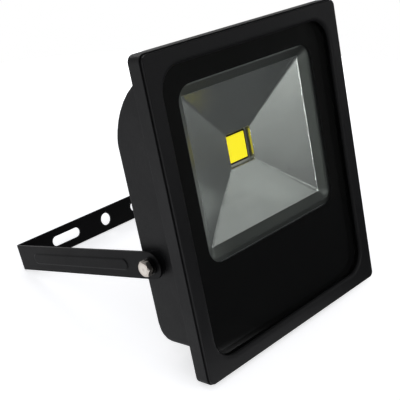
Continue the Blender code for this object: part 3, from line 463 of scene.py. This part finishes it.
boardLook = {
    # white solder mask on an aluminium board: smooth and slightly glossy, with a warm tone
    "dark": "cfcfc8",
    "light": "e6e6e0",
    "toneSpan": (0.3, 0.7),
    "damShade": "0b0b0b",  # painted shade: the ring round the phosphor is near black, for the shade in the gap between the emitter and the reflector's collar
    "damHalves": (14.6 * mm, 14.6 * mm),
    "grain": 1.2 * mm,
    "detail": 3.0,
    "ragged": 0.5,
    "roughness": (0.30, 0.42),
    "glossSpan": (0.3, 0.7),
    "bump": 0.02 * mm,
    "bumpShare": 0.3,
}


def anodisedSheet(name, look):
    material, tree, place = newMaterial(name)
    grain = addNode(tree, "TexNoise", {"Vector": place, "Scale": 1 / look["grain"], "Detail": 4.0,
                                       "Roughness": look["ragged"]})
    patches = addNode(tree, "TexNoise", {"Vector": place, "Scale": 1 / look["patch"],
                                         "Detail": 2.0})
    mixed = addNode(tree, "Math", {0: patches.outputs["Fac"], 1: grain.outputs["Fac"]},
                    operation="ADD")
    halved = addNode(tree, "Math", {0: mixed.outputs[0], 1: 0.5}, operation="MULTIPLY")
    tone, gloss = toneAndGloss(tree, halved.outputs[0], look)

    right, above = rightAndAbove(tree, place)
    past = pastRectangle(tree, right, above, look["panels"])
    onLip = addNode(tree, "Math", {0: past, 1: look["lip"] / 2, 2: look["lip"] / 2},
                    operation="COMPARE")
    # painted shade on the lip, turning from the upper left tone to the darker lower right one
    slant = addNode(tree, "Math", {0: right, 1: above}, operation="SUBTRACT")
    turn = addNode(tree, "MapRange", {"Value": slant.outputs[0], "From Min": -look["lipShadeTurn"],
                                      "From Max": look["lipShadeTurn"]})
    upper, lower = look["paintedLipShades"]
    lipShadeRamp = addNode(tree, "ValToRGB", {"Fac": turn.outputs["Result"]},
                      ramp=[(0.0, upper), (1.0, lower)])
    sheet = addNode(tree, "Mix", {0: onLip.outputs[0], 6: tone, 7: lipShadeRamp.outputs["Color"]},
                    data_type="RGBA")
    dull = addNode(tree, "Math", {0: onLip.outputs[0], 1: look["scuffed"], 2: gloss},
                   operation="MULTIPLY_ADD")

    edges = addNode(tree, "Bevel", {"Radius": look["fold"]}, samples=edgeSamples)
    bump = addNode(tree, "Bump", {"Strength": look["bumpShare"], "Distance": look["bump"],
                                  "Height": grain.outputs["Fac"],
                                  "Normal": edges.outputs["Normal"]})
    metal = addNode(tree, "BsdfPrincipled", {
        "Base Color": sheet.outputs[2],
        "Metallic": look["metallic"],
        "Roughness": dull.outputs[0],
        "Normal": bump.outputs["Normal"],
    })
    addNode(tree, "OutputMaterial", {"Surface": metal.outputs["BSDF"]})
    return material


def phosphor(name, look):
    material, tree, place = newMaterial(name)
    level = addNode(tree, "Mapping", {"Vector": place, "Rotation": (-headLean, 0, 0)})
    grain = addNode(tree, "TexNoise", {"Vector": place, "Scale": 1 / look["grain"],
                                       "Detail": 2.0})
    chips = addNode(tree, "TexVoronoi", {"Vector": level.outputs[0], "Scale": 1 / look["chip"],
                                         "Randomness": 0.0}, feature="SMOOTH_F1")
    start, end = look["toneSpan"]
    tone = addNode(tree, "ValToRGB", {"Fac": grain.outputs["Fac"]},
                   ramp=[(start, look["dark"]), (end, look["light"])])
    height = addNode(tree, "Math", {0: chips.outputs["Distance"], 1: look["chipShare"],
                                    2: grain.outputs["Fac"]}, operation="MULTIPLY_ADD")
    bump = addNode(tree, "Bump", {"Strength": look["bumpShare"], "Distance": look["bump"],
                                  "Height": height.outputs[0]})
    body = addNode(tree, "BsdfPrincipled", {
        "Base Color": tone.outputs["Color"],
        "Roughness": look["roughness"],
        "Normal": bump.outputs["Normal"],
        # painted glow: the phosphor shines in its own colour
        "Emission Color": tone.outputs["Color"],
        "Emission Strength": look["glow"],
    })
    addNode(tree, "OutputMaterial", {"Surface": body.outputs["BSDF"]})
    return material


def solderMask(name, look):
    material, tree, place = newMaterial(name)
    tone, gloss, normal = grainSockets(tree, place, look)
    right, above = rightAndAbove(tree, place)
    past = pastRectangle(tree, right, above, look["damHalves"])
    # painted shade: near black over the dam round the phosphor
    onDam = addNode(tree, "Math", {0: past, 1: 0.0}, operation="LESS_THAN")
    painted = addNode(tree, "Mix", {0: onDam.outputs[0], 6: tone, 7: linear(look["damShade"])},
                      data_type="RGBA")
    body = addNode(tree, "BsdfPrincipled", {"Base Color": painted.outputs[2],
                                            "Roughness": gloss, "Normal": normal})
    addNode(tree, "OutputMaterial", {"Surface": body.outputs["BSDF"]})
    return material


dress(anodisedSheet("anodisedAluminiumSheet", reflectorLook), "reflector")
dress(phosphor("castPhosphor", phosphorLook), "led_emitter")
dress(solderMask("whiteSolderMask", boardLook), "led_board")
print("reflector and light engine finished")


# ---- rubber, plastic and the driver's can

evenGrain = {
    # what these finishes share
    "toneSpan": (0.32, 0.68),
    "detail": 4.0,
    "ragged": 0.5,
    "metallic": 0.0,
    "glossSpan": (0.3, 0.7),
    "bumpShare": 0.4,
}

siliconeLook = {
    # compression moulded silicone: matt black that shows dust as a grey bloom
    **evenGrain,
    "dark": "0d0d0d",
    "light": "1b1b1b",
    "grain": 2.2 * mm,
    "roughness": (0.55, 0.75),
    "bump": 0.04 * mm,
}

nylonLook = {
    # moulded nylon: black with the fine spark texture of its tool
    **evenGrain,
    "dark": "141415",
    "light": "202021",
    "grain": 0.8 * mm,
    "roughness": (0.42, 0.58),
    "bump": 0.05 * mm,
}

canLook = {
    # pressed aluminium can: plain mill finish with a faint drawn grain
    **evenGrain,
    "dark": "8d8f92",
    "light": "b4b6b8",
    "grain": 1.6 * mm,
    "metallic": 1.0,
    "roughness": (0.32, 0.46),
    "bump": 0.03 * mm,
}

redLeadLook = {
    # extruded silicone sleeve: soft red with a waxy sheen
    **evenGrain,
    "dark": "9c1512",
    "light": "b81f1a",
    "grain": 1.5 * mm,
    "roughness": (0.40, 0.52),
    "bump": 0.02 * mm,
}

blackLeadLook = {
    # the same sleeve in black
    **redLeadLook,
    "dark": "101010",
    "light": "1c1c1c",
}

for name, look, pieces in (
    ("mouldedSilicone", siliconeLook, ("glass_gasket", "gland_seal")),
    ("mouldedNylon", nylonLook, ("gland_body", "gland_nut")),
    ("pressedAluminiumCan", canLook, ("driver_case",)),
    ("redSiliconeSleeve", redLeadLook, ("lead_positive",)),
    ("blackSiliconeSleeve", blackLeadLook, ("lead_negative",)),
):
    dress(grainedSkin(name, look), *pieces)
print("gasket, gland, driver and leads finished")


# ---- studio

floorSettings = {
    "radius": 0.8,
    "steps": 96,
    "pale": "ececeb",
    "fleck": 180.0,  # flecks of the paint in a metre
    "fleckBump": 0.2 * mm,
    "fleckShare": 0.05,
    "glow": 0.60,  # white that a camera sees over the lit floor, which keeps its shadows
    "mirror": 0.5,  # the same for what metal and gloss mirror
    "fade": (0.32, 0.7),  # where the floor fades to plain white, so that it has no edge
    "cloth": "383838",  # dark cloth in front of the lamp, which keeps the glass dark
    "clothAlong": (0.3, -0.95, 0.0),  # the way it lies from the lamp
    "clothFrom": (0.145, 0.195),  # and how far off it starts
}

worldSettings = {
    "ambient": 0.50,
    "ambientTone": "f4f6ff",
    "darkSide": "343434",  # what gloss mirrors of the room on the lamp's lit side
    "paper": "e6e6e6",  # and of the paper behind the lamp, low down
    "paperHigh": "6e6e6e",  # which grows darker upwards
    "backdrop": (-0.1, 0.5),
    "sky": (0.0, 0.35),
}

lampAim = (0.0, -0.07, 0.13)

lampList = {
    # name: place, what it faces, width and height, watts
    "frontBox": ((0.378, -1.48, 0.78), lampAim, (0.60, 0.55), 3.2),
    "lowPanel": ((0.50, -1.57, 0.32), lampAim, (0.55, 0.36), 0.20),
    "rightBox": ((1.447, -0.714, 0.353), lampAim, (0.45, 0.40), 1.1),
    "rightHighBox": ((1.107, -0.904, 0.93), lampAim, (0.80, 0.60), 0.66),
    "leftBox": ((-1.44, -0.32, 0.78), lampAim, (0.60, 0.55), 2.2),
    "edgeStrip": ((-0.11, -1.651, 0.30), lampAim, (0.05, 0.50), 2.4),
    "backBox": ((0.25, 1.50, 1.15), (0.0, 0.0, 0.12), (0.90, 0.60), 6.0),
}


def raySockets(tree):
    # 1 for what the camera sees itself, and 1 for what it sees in gloss, metal or glass
    path = addNode(tree, "LightPath").outputs
    shiny = addNode(tree, "Math", {0: path["Is Glossy Ray"], 1: path["Is Transmission Ray"]},
                    operation="MAXIMUM")
    return path["Is Camera Ray"], shiny.outputs[0]


def floorPaint(name, settings):
    material, tree, place = newMaterial(name)
    fleck = addNode(tree, "TexNoise", {"Vector": place, "Scale": settings["fleck"],
                                       "Detail": 2.0})
    paint = addNode(tree, "Bump", {"Strength": settings["fleckShare"],
                                   "Distance": settings["fleckBump"],
                                   "Height": fleck.outputs["Fac"]})
    ahead = addNode(tree, "VectorMath", {0: place, 1: settings["clothAlong"]},
                    operation="DOT_PRODUCT")
    start, end = settings["clothFrom"]
    cloth = addNode(tree, "MapRange", {"Value": ahead.outputs["Value"], "From Min": start,
                                       "From Max": end}, interpolation_type="SMOOTHSTEP")
    colour = addNode(tree, "ValToRGB", {"Fac": cloth.outputs["Result"]},
                     ramp=[(0.0, settings["pale"]), (1.0, settings["cloth"])])
    matt = addNode(tree, "BsdfDiffuse", {"Color": colour.outputs["Color"],
                                         "Normal": paint.outputs["Normal"]})

    away = addNode(tree, "VectorMath", {0: place}, operation="LENGTH")
    start, end = settings["fade"]
    glow = addNode(tree, "MapRange", {"Value": away.outputs["Value"], "From Min": start,
                                      "From Max": end, "To Min": settings["glow"],
                                      "To Max": 1.0}, interpolation_type="SMOOTHSTEP")
    plain = addNode(tree, "MapRange", {"Value": cloth.outputs["Result"],
                                       "To Min": glow.outputs["Result"], "To Max": 1.0})
    camera, shiny = raySockets(tree)
    seen = addNode(tree, "Math", {0: camera, 1: plain.outputs["Result"]}, operation="MULTIPLY")
    bare = addNode(tree, "Math", {0: 1.0, 1: cloth.outputs["Result"]}, operation="SUBTRACT")
    level = addNode(tree, "Math", {0: bare.outputs[0], 1: settings["mirror"]},
                    operation="MULTIPLY")
    strength = addNode(tree, "Math", {0: shiny, 1: level.outputs[0], 2: seen.outputs[0]},
                       operation="MULTIPLY_ADD")
    light = addNode(tree, "Emission", {"Color": white, "Strength": strength.outputs[0]})
    both = addNode(tree, "AddShader", {0: matt.outputs[0], 1: light.outputs[0]})
    addNode(tree, "OutputMaterial", {"Surface": both.outputs[0]})
    return material


def makeFloor(settings):
    bm = bmesh.new()
    bmesh.ops.create_circle(bm, cap_ends=True, segments=settings["steps"],
                            radius=settings["radius"])
    floor = addMesh("floor", bm)
    floor.data.materials.append(floorPaint("paleFloor", settings))


def makeWorld(settings):
    world = bpy.data.worlds.new("studio")
    world.use_nodes = True
    tree = world.node_tree
    tree.nodes.clear()
    around = addNode(tree, "TexCoord").outputs["Generated"]
    split = addNode(tree, "SeparateXYZ", {0: around})
    behind, upwards = [
        addNode(tree, "MapRange", {"Value": split.outputs[axis], "From Min": settings[span][0],
                                   "From Max": settings[span][1]},
                interpolation_type="SMOOTHSTEP").outputs["Result"]
        for axis, span in (("Y", "backdrop"), ("Z", "sky"))]
    paper = addNode(tree, "ValToRGB", {"Fac": upwards},
                    ramp=[(0.0, settings["paper"]), (1.0, settings["paperHigh"])])
    mirrored = addNode(tree, "Mix", {0: behind, 6: linear(settings["darkSide"]),
                                     7: paper.outputs["Color"]}, data_type="RGBA")
    ambient = addNode(tree, "Background", {"Color": linear(settings["ambientTone"]),
                                           "Strength": settings["ambient"]})
    mirror = addNode(tree, "Background", {"Color": mirrored.outputs[2], "Strength": 1.0})
    backing = addNode(tree, "Background", {"Color": white, "Strength": 1.0})
    camera, shiny = raySockets(tree)
    lit = addNode(tree, "MixShader", {0: shiny, 1: ambient.outputs[0], 2: mirror.outputs[0]})
    seen = addNode(tree, "MixShader", {0: camera, 1: lit.outputs[0], 2: backing.outputs[0]})
    addNode(tree, "OutputWorld", {"Surface": seen.outputs[0]})
    bpy.context.scene.world = world


def makeLamps(lamps):
    for name, (place, target, size, watts) in lamps.items():
        data = bpy.data.lights.new(name, "AREA")
        data.shape = "RECTANGLE"
        data.size, data.size_y = size
        data.energy = watts
        lamp = addObject(name, data)
        lamp.location = place
        aim = Vector(target) - Vector(place)
        lamp.rotation_euler = aim.to_track_quat("-Z", "Y").to_euler()
        lamp.visible_camera = False


makeFloor(floorSettings)
makeWorld(worldSettings)
makeLamps(lampList)
bpy.context.scene.view_settings.view_transform = "Standard"
print("studio set")

bpy.context.view_layer.update()
